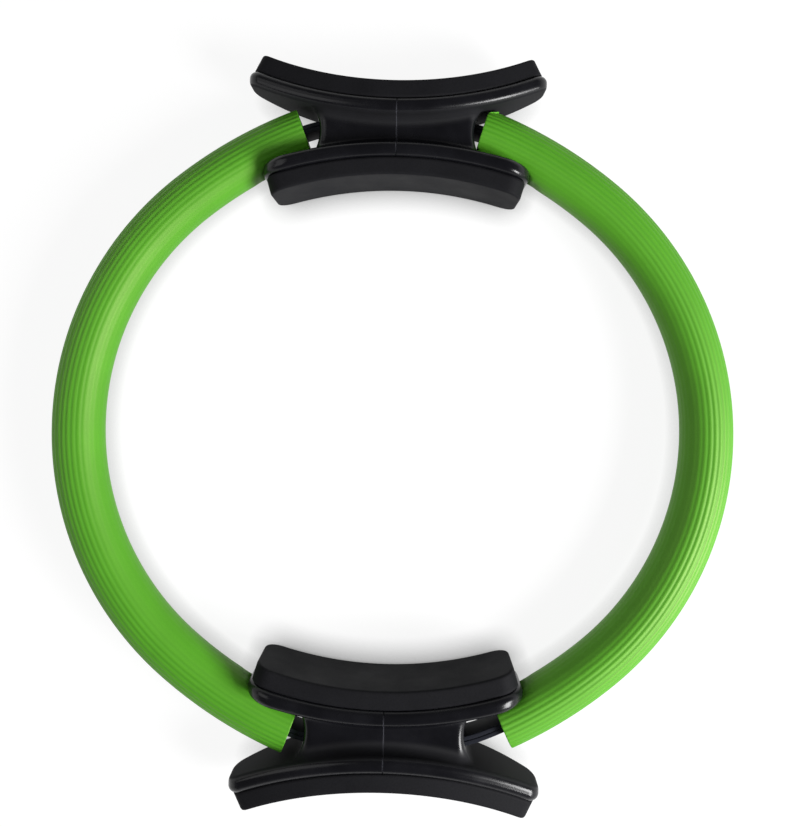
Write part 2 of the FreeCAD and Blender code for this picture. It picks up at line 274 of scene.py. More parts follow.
def arcs_of(path):
    """Centres, radii and end lengths of the arcs from the far handle to the side."""
    side = np.array([path.half_width - path.side_radius, 0.0])
    stretch = side + outward_at(path.shoulder) * (path.side_radius - path.stretch_radius)
    clamp_point = stretch + outward_at(path.clamp) * path.stretch_radius
    bend_radius = (clamp_point[0] - path.clamp_half) / math.sin(path.clamp)
    bend = clamp_point - outward_at(path.clamp) * bend_radius
    ends = np.cumsum([
        path.clamp_half,
        bend_radius * path.clamp,
        path.stretch_radius * (path.shoulder - path.clamp),
        path.side_radius * (math.pi / 2 - path.shoulder),
    ])
    return (bend, stretch, side), (bend_radius, path.stretch_radius, path.side_radius), ends


def length_to(path, bend):
    """Length along the line from the far handle axis to an angle short of the shoulder."""
    centres, radii, ends = arcs_of(path)
    if bend < path.clamp:
        return ends[0] + radii[0] * bend
    return ends[1] + radii[1] * (bend - path.clamp)


def half_length_of(path):
    """Length of half the ring's line, from one handle axis to the other."""
    return 2 * arcs_of(path)[2][3]


def oval(path, along):
    """Right half of the ring's line: point and outward direction at a length along it.

    The length starts on the far handle axis. After a straight piece, point = centre + radius
    (sin a, cos a), with a = start angle + length past the arc's start / radius, on three tangent
    arcs that end at the side. The nearer half is the same in the mirror: y and the direction's y
    change sign.
    """
    centres, radii, ends = arcs_of(path)
    near = along > ends[3]
    s = np.where(near, 2 * ends[3] - along, along)
    part = [s < ends[0], s < ends[1], s < ends[2]]
    bend = np.select(part, [0.0, (s - ends[0]) / radii[0], path.clamp + (s - ends[1]) / radii[1]],
                     path.shoulder + (s - ends[2]) / radii[2])
    radius = np.select(part, [radii[0], radii[0], radii[1]], radii[2])
    centre_x = np.select(part, [s, centres[0][0], centres[1][0]], centres[2][0])
    centre_y = np.select(part, [centres[0][1], centres[0][1], centres[1][1]], centres[2][1])
    way = np.where(near, -1.0, 1.0)
    outward = np.stack([np.sin(bend), way * np.cos(bend), np.zeros_like(bend)], axis=-1)
    centre = np.stack([centre_x, way * centre_y, np.full_like(bend, MIDDLE_HEIGHT)], axis=-1)
    return centre + radius[..., None] * outward, outward


def carry(path, along, across, up):
    """Points at offsets outwards and upwards from the oval: oval + across outward + up Z."""
    point, outward = oval(path, along)
    lifted = point + across[..., None] * outward
    lifted[..., 2] += up
    return lifted


def rounded_box(around, half_x, half_y, corner):
    """Closed outline of a box with round corners, in four equal shares of the parameter.

    Each share is an arc of a quarter turn about a corner's centre: x = cx + corner cos a. The
    straight sides are the jumps between the ends of the arcs.
    """
    quarter = np.floor(around * 4).astype(int) % 4
    bend = (quarter + np.mod(around * 4, 1.0)) * math.pi / 2
    sign_x = np.where((quarter == 0) | (quarter == 3), 1.0, -1.0)
    sign_y = np.where(quarter < 2, 1.0, -1.0)
    return (sign_x * (half_x - corner) + corner * np.cos(bend),
            sign_y * (half_y - corner) + corner * np.sin(bend))


def smooth_step(value):
    """0 below 0, 1 above 1, and 3v^2 - 2v^3 between."""
    v = np.clip(value, 0.0, 1.0)
    return v * v * (3 - 2 * v)


def soft_positive(value, softness):
    """Positive part of a value with a rounded knee: (v + sqrt(v^2 + s^2)) / 2."""
    return (value + np.sqrt(value * value + softness * softness)) / 2


def bow_sag(x, curve):
    """How far an arc of curvature c sinks at a distance x from its top.

    The sag is c x^2 / (1 + sqrt(1 - c^2 x^2)), which is nought for a straight line.
    """
    return curve * x * x / (1 + np.sqrt(1 - (curve * x) ** 2))


def crowd(start, end, count, edge):
    """Places from start to end, evenly spaced but for a short first and last step."""
    places = np.linspace(start, end, count)
    return np.concatenate([[start], [start + edge], places[1:-1], [end - edge], [end]])


def grid_object(name, points, wrap_rows, flip, uv=None, values=None):
    """Mesh of a grid of points, rows by columns, closed round its columns and, if asked, its rows.

    Face (r, c) joins the corners (r, c), (r, c + 1), (r + 1, c + 1) and (r + 1, c). Equal points
    are merged, so that rows that shrink to a line close the shape.
    """
    rows, columns = points.shape[:2]
    index = np.arange(rows * columns).reshape(rows, columns)
    lower = index if wrap_rows else index[:-1]
    upper = np.roll(index, -1, axis=0) if wrap_rows else index[1:]
    corners = [lower, np.roll(lower, -1, axis=1), np.roll(upper, -1, axis=1), upper]
    quads = np.stack(corners, axis=-1).reshape(-1, 4)
    if flip:
        quads = quads[:, ::-1]
    mesh = bpy.data.meshes.new(name)
    mesh.from_pydata(points.reshape(-1, 3).tolist(), [], quads.tolist())
    mesh.polygons.foreach_set("use_smooth", np.ones(len(quads), dtype=bool))
    if uv is not None:
        low_row = np.arange(lower.shape[0])[:, None] + np.zeros((1, columns), dtype=int)
        low_column = np.zeros((lower.shape[0], 1), dtype=int) + np.arange(columns)[None, :]
        steps = [(0, 0), (0, 1), (1, 1), (1, 0)]
        coords = np.stack([uv[low_row + r, low_column + c] for r, c in steps], axis=2)
        coords = coords.reshape(-1, 4, 2)
        if flip:
            coords = coords[:, ::-1]
        layer = mesh.uv_layers.new(name="Surface")
        layer.data.foreach_set("uv", coords.astype(np.float32).ravel())
    if values is not None:
        for label, array in values.items():
            attribute = mesh.attributes.new(label, "FLOAT", "POINT")
            attribute.data.foreach_set("value", array.astype(np.float32).ravel())
    mesh.validate()
    thing = bpy.data.objects.new(name, mesh)
    bpy.context.scene.collection.objects.link(thing)
    return thing


def close_up(thing):
    """Merge equal points of a piece and turn its faces outwards."""
    work = bmesh.new()
    work.from_mesh(thing.data)
    bmesh.ops.remove_doubles(work, verts=work.verts, dist=MERGE_DISTANCE)
    bmesh.ops.recalc_face_normals(work, faces=work.faces)
    work.to_mesh(thing.data)
    work.free()


def flange_axis(flange, facing):
    """Distance from the ring's centre to the axis of a flange's hollow seat."""
    return flange.seat + facing * flange.seat_radius


def waist_middle(scene):
    """Distance from the ring's centre to the middle of a grip's waist."""
    return (scene.ring_inner_flange.seat + scene.ring_outer_flange.seat) / 2


def press_in(points, sizes, grips, flanges):
    """Foam pressed clear of the flanges: points nearer to a flange's axis than its back move away.

    With d the depth below the flange's back, a point moves along the radius by the soft positive
    part of d, times a share that falls from one to nought past the flange's end. The rounded end
    lowers the back by q - sqrt(q^2 - u^2), with q the rounding and u the way into it.
    """
    moved = points.copy()
    rounding = grips.rim_round + sizes.clearance
    for handle in HANDLES.values():
        for flange, facing in flanges:
            axis_y = handle * flange_axis(flange, facing)
            x, y = moved[..., 0], moved[..., 1] - axis_y
            distance = np.hypot(x, y)
            past = np.abs(x) - flange.flange_length / 2
            into = np.clip(past + grips.rim_round, 0.0, rounding)
            drop = rounding - np.sqrt(rounding ** 2 - into ** 2)
            back = flange.seat_radius + grips.flange_thickness + sizes.clearance - drop
            on_side = handle * moved[..., 1] > 0
            reach = 1 - smooth_step(past / sizes.recovery)
            push = soft_positive(back - distance, sizes.give) * reach * on_side
            moved[..., 0] += push * x / distance
            moved[..., 1] += push * y / distance
    return moved


def clear_of_waist(points, sizes, grips, middle):
    """Points held off the waists' hollow ends: x is at least e + r - sqrt(r^2 - d^2).

    Here e is the waist's end, r the hollow's radius and d the distance from its middle.
    """
    off = np.minimum(np.abs(np.abs(points[..., 1]) - middle), grips.hollow_radius)
    end = grips.waist_half + sizes.clearance
    least = end + grips.hollow_radius - np.sqrt(grips.hollow_radius ** 2 - off ** 2)
    held = points.copy()
    held[..., 0] = np.maximum(points[..., 0], least)
    return held


# Finishes

def paint(thing, material):
    """Give a piece one material."""
    thing.data.materials.clear()
    thing.data.materials.append(material)


def new_finish(name):
    """An empty node material and its principled shader."""
    material = bpy.data.materials.new(name)
    material.use_nodes = True
    tree = material.node_tree
    shader = tree.nodes["Principled BSDF"]
    return material, tree, shader


def node(tree, kind, **sockets):
    """A node with values or links on its named inputs."""
    made = tree.nodes.new(kind)
    plug_all(tree, made, **sockets)
    return made


def plug_all(tree, made, **sockets):
    """Put values or links on a node's inputs, named with underscores for spaces."""
    for socket, value in sockets.items():
        plug(tree, made.inputs[socket.replace("_", " ")], value)


def plug(tree, socket, value):
    """Link an output to a socket, or set a plain value on it."""
    if isinstance(value, bpy.types.NodeSocket):
        tree.links.new(value, socket)
    else:
        socket.default_value = value


def place(tree, scale=(1.0, 1.0, 1.0), source="Object"):
    """Coordinates on a piece, stretched by a scale."""
    where = tree.nodes.new("ShaderNodeTexCoord")
    mapping = node(tree, "ShaderNodeMapping", Vector=where.outputs[source], Scale=scale)
    return mapping.outputs["Vector"]


def noise(tree, vector, scale, detail=2.0, roughness=0.5):
    """Level of a soft random pattern, from nought to one."""
    made = node(tree, "ShaderNodeTexNoise", Vector=vector, Scale=scale, Detail=detail,
                Roughness=roughness)
    return made.outputs["Fac"]


def spread(tree, value, low, high, from_low=0.0, from_high=1.0):
    """A value moved from one range to another, held at its ends."""
    made = node(tree, "ShaderNodeMapRange", Value=value, From_Min=from_low, From_Max=from_high,
                To_Min=low, To_Max=high)
    return made.outputs["Result"]


def mix(tree, factor, first, second):
    """Colour between two colours."""
    made = tree.nodes.new("ShaderNodeMix")
    made.data_type = "RGBA"
    plug(tree, made.inputs[0], factor)
    plug(tree, made.inputs[6], opaque(first))
    plug(tree, made.inputs[7], opaque(second))
    return made.outputs[2]


def opaque(value):
    """A colour with full alpha, or the link as it is."""
    return value if isinstance(value, bpy.types.NodeSocket) else (*value, 1.0)


def math_node(tree, operation, first, second=0.0):
    """Result of one sum on links or plain values."""
    made = tree.nodes.new("ShaderNodeMath")
    made.operation = operation
    plug(tree, made.inputs[0], first)
    plug(tree, made.inputs[1], second)
    return made.outputs["Value"]


def shade(rgb, factor):
    """A colour made lighter or darker by a factor."""
    return tuple(min(1.0, c * factor) for c in rgb)


def bump(tree, height, strength, distance, after=None):
    """Surface direction over a height pattern, on top of another one if given."""
    made = node(tree, "ShaderNodeBump", Height=height, Strength=strength, Distance=distance)
    if after is not None:
        plug_all(tree, made, Normal=after)
    return made.outputs["Normal"]


def foam_finish(rgb, groove_shade_rgb):
    """Closed-cell foam: a soft mottle along the tube, fine cells, and painted shade deepening the colour
    in the grooves.
    """
    material, tree, shader = new_finish("sleeve_foam_ribbed")
    body = place(tree)
    groove = tree.nodes.new("ShaderNodeAttribute")
    groove.attribute_name = "groove"
    mottle = noise(tree, body, scale=38.0, detail=3.0)
    cells = noise(tree, body, scale=1500.0, roughness=0.6)
    patches = spread(tree, mottle, low=0.0, high=1.0, from_low=0.3, from_high=0.7)
    pits = spread(tree, cells, low=0.0, high=0.35, from_low=0.35, from_high=0.75)
    base = mix(tree, patches, shade(rgb, 0.94), shade(rgb, 1.06))
    cell_tone = mix(tree, pits, base, shade(rgb, 0.8))
    # Painted shade: the colour deepens with the groove's depth, where shade falls in the recesses.
    tone = mix(tree, spread(tree, groove.outputs["Fac"], low=0.0, high=0.75), cell_tone, groove_shade_rgb)
    plug_all(
        tree, shader, Base_Color=tone, Roughness=spread(tree, cells, low=0.5, high=0.64),
        Normal=bump(tree, cells, strength=0.25, distance=0.15 * MM),
        Specular_IOR_Level=0.85, Specular_Tint=(1.0, 0.88, 0.55, 1.0),
        Sheen_Weight=0.03, Sheen_Roughness=0.45, Sheen_Tint=(0.95, 1.0, 0.6, 1.0),
    )
    return material


def plastic_finish(rgb, satin_axis, satin_radius, waist_depth):
    """Glossy moulded plastic: faint flow of the surface, handling haze and a few specks of dust.

    The backs of the outer flanges, at one radius from their axis, stay satin from the mould, and the
    seam down the middle of the waist carries a painted highlight, a thin, paler line.
    """
    material, tree, shader = new_finish("grip_plastic_gloss")
    body = place(tree)
    haze = noise(tree, body, scale=60.0, detail=4.0, roughness=0.6)
    grain = noise(tree, body, scale=2200.0)
    ripple = noise(tree, body, scale=160.0)
    specks = node(tree, "ShaderNodeTexVoronoi", Vector=body, Scale=420.0)
    speck = spread(tree, specks.outputs["Distance"], low=1.0, high=0.0, from_low=0.05, from_high=0.09)
    lone = spread(tree, specks.outputs["Color"], low=0.0, high=1.0, from_low=0.93, from_high=0.95)
    dust = math_node(tree, "MULTIPLY", speck, lone)
    handled = spread(tree, haze, low=0.0, high=1.0, from_low=0.35, from_high=0.7)
    tone = mix(tree, handled, shade(rgb, 0.85), shade(rgb, 1.25))
    dust_rgb, seam_highlight_rgb = (0.09, 0.09, 0.10), (0.05, 0.05, 0.06)
    dusty = mix(tree, dust, tone, dust_rgb)
    split = node(tree, "ShaderNodeSeparateXYZ", Vector=body)
    depth = math_node(tree, "ABSOLUTE", split.outputs["Y"])
    off_seam = math_node(tree, "ABSOLUTE", split.outputs["X"])
    off_waist = math_node(tree, "ABSOLUTE", math_node(tree, "SUBTRACT", depth, waist_depth))
    # Painted highlight: a thin, paler line down the seam, on the waist only, fading towards the flanges.
    line = spread(tree, off_seam, low=1.0, high=0.0, from_low=0.2 * MM, from_high=0.45 * MM)
    on_waist = spread(tree, off_waist, low=1.0, high=0.0, from_low=9.0 * MM, from_high=14.0 * MM)
    seam = math_node(tree, "MULTIPLY", line, on_waist)
    seam_highlighted = mix(tree, seam, dusty, seam_highlight_rgb)
    off_axis = math_node(tree, "SUBTRACT", depth, satin_axis)
    squares = math_node(tree, "ADD", math_node(tree, "MULTIPLY", off_axis, off_axis),
                        math_node(tree, "MULTIPLY", split.outputs["X"], split.outputs["X"]))
    radius = math_node(tree, "SQRT", squares)
    onset = spread(tree, radius, low=0.0, high=1.0,
                   from_low=satin_radius - 1.4 * MM, from_high=satin_radius - 0.3 * MM)
    fade = spread(tree, radius, low=1.0, high=0.0,
                  from_low=satin_radius + 2.0 * MM, from_high=satin_radius + 8.0 * MM)
    satin = spread(tree, math_node(tree, "MULTIPLY", onset, fade), low=0.0, high=0.85)
    gloss = spread(tree, haze, low=0.19, high=0.31, from_low=0.3, from_high=0.7)
    flow = bump(tree, ripple, strength=0.12, distance=0.12 * MM)
    plug_all(
        tree, shader, Base_Color=seam_highlighted, Roughness=math_node(tree, "MAXIMUM", gloss, satin),
        Normal=bump(tree, grain, strength=0.10, distance=0.03 * MM, after=flow),
        Specular_IOR_Level=0.3,
    )
    return material


def rubber_finish(rgb):
    """Moulded rubber: fine pebbled grain, dull, with faint rubbed patches."""
    material, tree, shader = new_finish("pad_rubber_grained")
    body = place(tree)
    pebble = node(tree, "ShaderNodeTexVoronoi", Vector=body, Scale=1300.0)
    fine = noise(tree, body, scale=2600.0)
    rubbed = noise(tree, body, scale=45.0, detail=4.0, roughness=0.6)
    patches = spread(tree, rubbed, low=0.0, high=1.0, from_low=0.3, from_high=0.7)
    pits = spread(tree, pebble.outputs["Distance"], low=0.0, high=0.4, from_low=0.25, from_high=0.8)
    tone = mix(tree, patches, shade(rgb, 0.85), shade(rgb, 1.2))
    pebbled = bump(tree, pebble.outputs["Distance"], strength=0.25, distance=0.12 * MM)
    plug_all(
        tree, shader, Base_Color=mix(tree, pits, tone, shade(rgb, 0.55)),
        Roughness=spread(tree, rubbed, low=0.62, high=0.76, from_low=0.3, from_high=0.7),
        Normal=bump(tree, fine, strength=0.15, distance=0.05 * MM, after=pebbled),
        Specular_IOR_Level=0.10,
    )
    return material


def fibreglass_finish(rgb):
    """Pultruded strip: fibres run lengthwise in dark resin."""
    material, tree, shader = new_finish("strip_fibreglass_dark")
    along = place(tree, scale=(30.0, 9000.0, 1.0), source="UV")
    fibres = noise(tree, along, scale=1.0, detail=3.0, roughness=0.6)
    streaks = spread(tree, fibres, low=0.0, high=1.0, from_low=0.35, from_high=0.7)
    plug_all(
        tree, shader, Base_Color=mix(tree, streaks, shade(rgb, 0.75), shade(rgb, 1.5)),
        Roughness=spread(tree, fibres, low=0.5, high=0.65),
        Normal=bump(tree, fibres, strength=0.2, distance=0.04 * MM),
        Specular_IOR_Level=0.15,
    )
    return material


def metal_finish(name, rgb, low, high, stretch):
    """Drawn or pressed metal with fine marks, its roughness between two levels."""
    material, tree, shader = new_finish(name)
    marks = noise(tree, place(tree, scale=stretch), scale=1.0, detail=4.0, roughness=0.65)
    plug_all(
        tree, shader, Base_Color=mix(tree, marks, shade(rgb, 0.82), shade(rgb, 1.08)),
        Roughness=spread(tree, marks, low, high),
        Normal=bump(tree, marks, strength=0.1, distance=0.02 * MM), Metallic=1.0,
    )
    return material


# Pieces

class RingTool:
    """What the operators share."""

    bl_options = {"REGISTER", "UNDO"}

    @classmethod
    def poll(cls, context):
        """A scene is needed, because the sizes are kept on it."""
        return context.scene is not None


class RING_OT_foam_sleeves(RingTool, bpy.types.Operator):
    """Make the two ribbed foam sleeves that the strips run through"""

    bl_idname = "pilates_ring.foam_sleeves"
    bl_label = "Foam Sleeves"

    def execute(self, context):
        scene = context.scene
        sizes = scene.ring_sleeves
        finish = foam_finish(tuple(scene.ring_finishes.foam), tuple(scene.ring_finishes.foam_groove_shade))
        for side, sign in SIDES.items():
            far = getattr(sizes, side + "_far_end")
            near = getattr(sizes, side + "_near_end")
            piece = self.sleeve(scene, side, sign, far, near)
            paint(piece, finish)
            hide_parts(side + "_foam_sleeve")
            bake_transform(piece)
        return {"FINISHED"}

    def sleeve(self, scene, side, sign, far, near):
        """A ribbed round carried along the oval, closed through the slot for the strips.

        Outside, the radius is R - depth (1/2 + 1/2 cos(n v))^p times an envelope that falls on
        the side of the ring's centre. A row is a mix of that round and of the slot's outline, so
        the rows run out over the cut end, back through the slot, and close on the other cut end.
        """
        path, sizes = scene.ring_path, scene.ring_sleeves
        samples_a_rib, stations, slot_stations = 8, 190, 24
        groove_power, fade_lead, fade_span = 1.4, 0.05, 0.75
        shoulder_share, shoulder_inset, edge_inset = 0.3, 0.012, 0.045
        columns = sizes.rib_count * samples_a_rib
        v = np.arange(columns) / columns * 2 * math.pi
        envelope = 1 - (1 - sizes.inner_rib) * smooth_step((-np.cos(v) + fade_lead) / fade_span)
        groove = (0.5 + 0.5 * np.cos(sizes.rib_count * v)) ** groove_power
        radius = sizes.radius - sizes.rib_depth * groove * envelope
        slot_half = STACK_HALF + sizes.slot_clearance
        slot_height = scene.ring_strips.width / 2 + sizes.slot_clearance
        slot_corner = slot_half / 3
        slot_across, slot_up = rounded_box(v / (2 * math.pi), slot_half, slot_height, slot_corner)

        start = length_to(path, far)
        end = half_length_of(path) - length_to(path, near)
        edge = sizes.cut_round
        outside = crowd(start + edge, end - edge, stations, edge)
        inside = crowd(start, end, slot_stations, edge)[::-1]
        shoulder = shoulder_share * edge
        cut_shares = np.array([0.03, 0.06, 0.3, 0.7, 0.97])
        cut = cut_shares + edge_inset * (1 - cut_shares)
        along = np.concatenate([
            [start], [start + shoulder], outside, [end - shoulder], [end],
            np.full(cut.size, end), inside, np.full(cut.size, start),
        ])
        inset = np.concatenate([
            [edge_inset], [shoulder_inset], np.zeros(outside.size), [shoulder_inset], [edge_inset],
            cut, np.ones(inside.size), cut[::-1],
        ])[:, None]
        on_round = inset < 0.5
        across = (1 - inset) * (radius * np.cos(v)) + inset * slot_across
        up = (1 - inset) * (radius * np.sin(v)) + inset * slot_up
        grid_along = along[:, None] + np.zeros_like(across)
        points = carry(path, grid_along, across, up)
        flanges = ((scene.ring_inner_flange, -1), (scene.ring_outer_flange, 1))
        pressed = press_in(points, sizes, scene.ring_grips, flanges)
        points = np.where(on_round[..., None], pressed, points)
        points = clear_of_waist(points, sizes, scene.ring_grips, waist_middle(scene))
        points[..., 0] *= sign
        columns_closed = np.append(v, 2 * math.pi) * sizes.radius
        rows_closed = np.append(along, along[0])
        uv = np.stack(np.meshgrid(rows_closed, columns_closed, indexing="ij"), axis=-1)
        # Groove depth, which the foam's material turns into painted shade in the grooves.
        values = {"groove": groove * envelope * on_round + np.zeros_like(across)}
        return grid_object(side + "_ribbed_sleeve", points, True, sign < 0, uv, values)


class RING_OT_spring_strips(RingTool, bpy.types.Operator):
    """Make the four spring strips, two nested plies on each side"""

    bl_idname = "pilates_ring.spring_strips"
    bl_label = "Spring Strips"

    def execute(self, context):
        scene = context.scene
        sizes = scene.ring_strips
        finish = fibreglass_finish(tuple(scene.ring_finishes.fibreglass))
        for side, sign in SIDES.items():
            for ply, way in (("outer", 1), ("inner", -1)):
                near_face, far_face = way * sizes.ply_gap / 2, way * STACK_HALF
                piece = self.strip(scene, "%s_%s_ply" % (side, ply), sign, near_face, far_face)
                paint(piece, finish)
                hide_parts("%s_%s_spring_strip" % (side, ply))
                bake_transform(piece)
        return {"FINISHED"}

    def strip(self, scene, name, sign, near_face, far_face):
        """A rounded box carried along the oval from handle to handle, closed at both ends.

        Row k has offset m + x(k), where m is the ply's middle and x runs round the box. The first
        and last rows shrink to a line, which closes the ends.
        """
        path, sizes = scene.ring_path, scene.ring_strips
        stations, columns = 150, 24
        around = (np.arange(columns) + 0.5) / columns
        middle, half = (near_face + far_face) / 2, abs(far_face - near_face) / 2
        x, z = rounded_box(around, half, sizes.width / 2, sizes.edge_round)
        start = sizes.end_gap / 2
        end = half_length_of(path) - sizes.end_gap / 2
        along = np.concatenate([[start], crowd(start, end, stations, sizes.edge_round), [end]])
        scale = np.ones((along.size, 1))
        scale[[0, -1]] = 0.0
        across = middle + scale * x
        up = np.ones_like(scale) * z
        points = carry(path, along[:, None] + np.zeros_like(across), across, up)
        points[..., 0] *= sign
        rim = np.append(np.cumsum(np.hypot(np.diff(x, append=x[:1]), np.diff(z, append=z[:1]))), 0.0)
        uv = np.stack(np.meshgrid(along, np.roll(rim, 1), indexing="ij"), axis=-1)
        piece = grid_object(name, points, False, sign < 0, uv)
        close_up(piece)
        return piece


class RING_OT_pads(RingTool, bpy.types.Operator):
    """Make the curved rubber pads on the outer and inner flanges of both handles"""

    bl_idname = "pilates_ring.pads"
    bl_label = "Pads"

    def execute(self, context):
        scene = context.scene
        finish = rubber_finish(tuple(scene.ring_finishes.rubber))
        for handle, sign in HANDLES.items():
            for place_name, flange, facing in (
                ("outer", scene.ring_outer_flange, 1), ("inner", scene.ring_inner_flange, -1),
            ):
                piece = self.pad(scene.ring_pads, "%s_%s_grained_pad" % (handle, place_name),
                                 flange, facing, sign)
                paint(piece, finish)
                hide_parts("%s_%s_pad" % (handle, place_name))
                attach(piece, handle + "_handle")
        return {"FINISHED"}

    def pad(self, pads, name, flange, facing, sign):
        """Leaning walls round a rounded outline, between the hollow seat and a hollow face.

        At height h the outline's half length is l + (rise - h) tan(lean) and its half width
        w - h tan(lean). A wall meets the face or seat where h = c + R - sqrt(R^2 - x^2), found by
        repeating that step. A quadratic curve rounds the wall into the face.
        """
        base_end = flange.flange_length / 2 - pads.end_rim
        rise = flange.seat_radius - math.sqrt(flange.seat_radius ** 2 - base_end ** 2)
        columns, side_rows, edge_rows, face_rows, repeats = 176, 7, 9, 15, 30
        around = (np.arange(columns) + 0.5) / columns
        curve = 1 / flange.side_bow if flange.side_bow else 0.0

        def outline(h, inset):
            """The walls' outline at a height, moved in by an inset."""
            half_length = base_end + (rise - h) * math.tan(flange.end_lean) - inset
            half_width = FLANGE_HALF_WIDTH - pads.side_rim - h * math.tan(pads.side_lean) - inset
            corner = flange.pad_corner - inset
            return self.bowed_box(around, half_length, half_width, corner, curve)

        def hollow(x, lift):
            """Height of the seat, or of the face when lifted by the pad's thickness."""
            radius = flange.seat_radius - lift
            return flange.seat_radius - np.sqrt(radius ** 2 - x ** 2)

        def meet(lift):
            """Points where the walls meet the seat or the face."""
            h = np.full(columns, rise / 2)
            for _ in range(repeats):
                x, z = outline(h, 0.0)
                h = hollow(x, lift)
            return np.stack([x, h, z], axis=-1)

        lift = flange.pad_thickness
        foot, top = meet(pads.glue_gap), meet(lift)
        wall = (foot - top) / np.linalg.norm(foot - top, axis=-1, keepdims=True)
        below = top + pads.edge_round * wall
        x, z = outline(top[:, 1], pads.edge_round)
        inside = np.stack([x, hollow(x, lift), z], axis=-1)
        t = np.linspace(0, 1, edge_rows)[:, None, None]
        edge = (1 - t) ** 2 * below + 2 * t * (1 - t) * top + t ** 2 * inside
        k = np.linspace(0, 1, face_rows)[:, None]
        narrow = np.max(np.abs(inside[:, 2])) / np.max(np.abs(inside[:, 0]))
        face_x = inside[:, 0] * (1 - k * narrow)
        face = np.stack([face_x, hollow(face_x, lift), inside[:, 2] * (1 - k)], axis=-1)
        back_x = foot[:, 0] * (1 - k[::-1] * narrow)
        back = np.stack([back_x, hollow(back_x, pads.glue_gap), foot[:, 2] * (1 - k[::-1])], axis=-1)
        s = np.linspace(0, 1, side_rows)[1:-1, None, None]
        side = foot + s * (below - foot)
        rows = np.concatenate([back, side, edge, face[1:]])
        points = np.stack([
            sign * rows[..., 0],
            sign * (flange.seat + facing * rows[..., 1]),
            MIDDLE_HEIGHT + rows[..., 2],
        ], axis=-1)
        piece = grid_object(name, points, False, facing * sign > 0)
        close_up(piece)
        return piece

    @staticmethod
    def bowed_box(around, half_x, half_y, corner, curve):
        """Outline with round corners, straight ends and straight or bowed long sides.

        A quarter of it runs up half an end, round a corner and in along half a side, and the others
        are its mirror images. With c the side's curvature, the side sinks by the sag of x. A corner
        of radius r touches it where its centre has sunk by the sag for a curvature of c / (1 - c r).
        """
        quarter = np.floor(around * 4).astype(int)
        t = np.where(quarter % 2 == 1, 1 + quarter - around * 4, around * 4 - quarter)
        centre_x = half_x - corner
        centre_curve = curve / (1 - curve * corner)
        centre_y = half_y - corner - bow_sag(centre_x, centre_curve)
        turn = np.arccos(centre_curve * centre_x)
        side_x = centre_x + corner * np.cos(turn)
        lengths = np.array([np.mean(centre_y), np.mean(corner * turn), np.mean(side_x)])
        ends = np.concatenate([[0.0], np.cumsum(lengths)]) / lengths.sum()
        k = np.clip(np.searchsorted(ends, t, side="right") - 1, 0, 2)
        f = (t - ends[k]) / (ends[k + 1] - ends[k])
        x = np.select([k == 0, k == 1], [half_x, centre_x + corner * np.cos(f * turn)], side_x * (1 - f))
        y = np.select([k == 0, k == 1], [centre_y * f, centre_y + corner * np.sin(f * turn)],
                      half_y - bow_sag(x, curve))
        return np.where((quarter == 0) | (quarter == 3), x, -x), np.where(quarter < 2, y, -y)


class RING_OT_grips(RingTool, bpy.types.Operator):
    """Finish the moulded halves of both grips"""

    bl_idname = "pilates_ring.grips"
    bl_label = "Grips"

    def execute(self, context):
        scene = context.scene
        flange = scene.ring_outer_flange
        back_radius = flange.seat_radius + scene.ring_grips.flange_thickness
        finish = plastic_finish(tuple(scene.ring_finishes.plastic), flange_axis(flange, 1), back_radius,
                                waist_middle(scene))
        for handle in HANDLES:
            for half in SIDES:
                paint(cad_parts["%s_grip_%s_half" % (handle, half)], finish)
        return {"FINISHED"}


class RING_OT_fastenings(RingTool, bpy.types.Operator):
    """Finish the ferrules, rivets and dowels inside the grips"""

    bl_idname = "pilates_ring.fastenings"
    bl_label = "Ferrules, Rivets and Dowels"

    def execute(self, context):
        colours = context.scene.ring_finishes
        steel, aluminium = tuple(colours.steel), tuple(colours.aluminium)
        kinds = {
            "strip_ferrule": metal_finish("ferrule_steel_pressed", steel, low=0.3, high=0.5,
                                          stretch=(40.0, 900.0, 900.0)),
            "ferrule_rivets": metal_finish("rivet_aluminium_turned", aluminium, low=0.3, high=0.5,
                                           stretch=(500.0, 500.0, 500.0)),
            "grip_dowels": metal_finish("dowel_steel_drawn", steel, low=0.2, high=0.35,
                                        stretch=(60.0, 2000.0, 2000.0)),
        }
        for handle in HANDLES:
            for kind, finish in kinds.items():
                paint(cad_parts["%s_%s" % (handle, kind)], finish)
        return {"FINISHED"}


